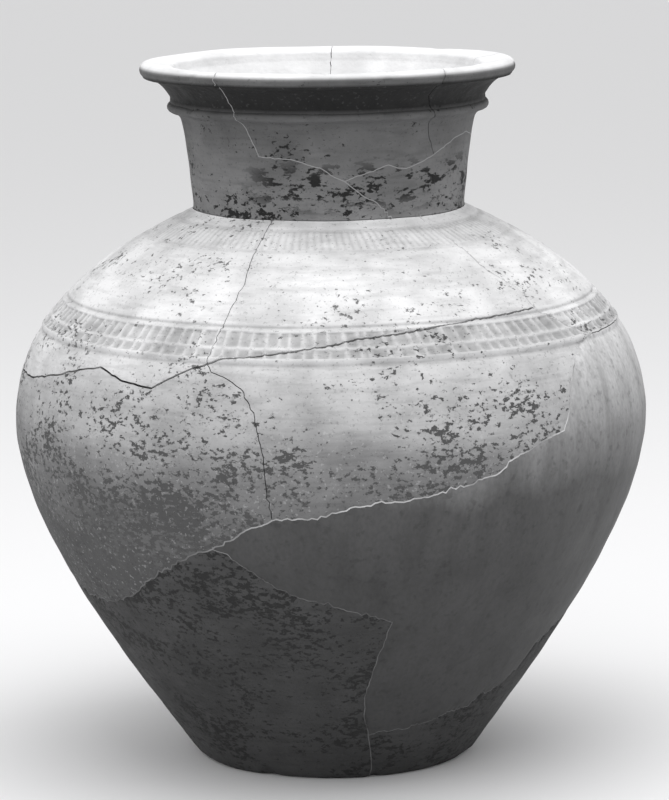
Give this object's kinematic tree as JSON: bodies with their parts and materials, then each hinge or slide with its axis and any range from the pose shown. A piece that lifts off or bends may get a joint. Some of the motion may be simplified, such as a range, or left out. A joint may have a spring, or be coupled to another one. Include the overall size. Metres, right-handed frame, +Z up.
{
  "type": "storage jar",
  "caption": "Large wheel-made clay storage jar with a round belly, a banded shoulder, a ridged neck and a flared lip, rebuilt from sherds with a plaster fill.",
  "frame": {"origin": "middle of the flat underside, on the surface that the jar stands on", "axes": "+Z up along the jar's turning axis; -Y towards the front, where the large crack and the plaster fill show"},
  "size_m": [0.3614, 0.3614, 0.4],
  "materials": {
    "pale_clay": "pale slipped fired clay, matt, with dark flakes",
    "neck_clay": "smoothed fired clay, matt, with dark flaked patches",
    "mottled_clay": "matt fired clay, pale slip worn through to dark spots",
    "dark_clay": "matt dark fired clay with crusted patches",
    "toned_plaster": "smooth brush-toned plaster"
  },
  "bodies": {
    "root": {"rim_front": "neck_clay", "rim_right": "neck_clay", "neck_left": "neck_clay", "neck_lower_right": "neck_clay", "neck_back_right": "neck_clay", "neck_back_left": "neck_clay", "shoulder_front_left": "pale_clay", "shoulder_front_middle": "pale_clay", "shoulder_front_right": "pale_clay", "shoulder_back_right": "pale_clay", "shoulder_back_left": "pale_clay", "belly_front_left": "mottled_clay", "belly_front_middle": "mottled_clay", "belly_back_right": "mottled_clay", "belly_back_middle": "mottled_clay", "belly_back_left": "mottled_clay", "lower_front_left": "dark_clay", "lower_back_left": "dark_clay", "lower_back_right": "dark_clay", "foot_front_right": "dark_clay", "floor_front": "dark_clay", "floor_back": "dark_clay", "plaster_fill": "toned_plaster"}
  },
  "joints": []
}
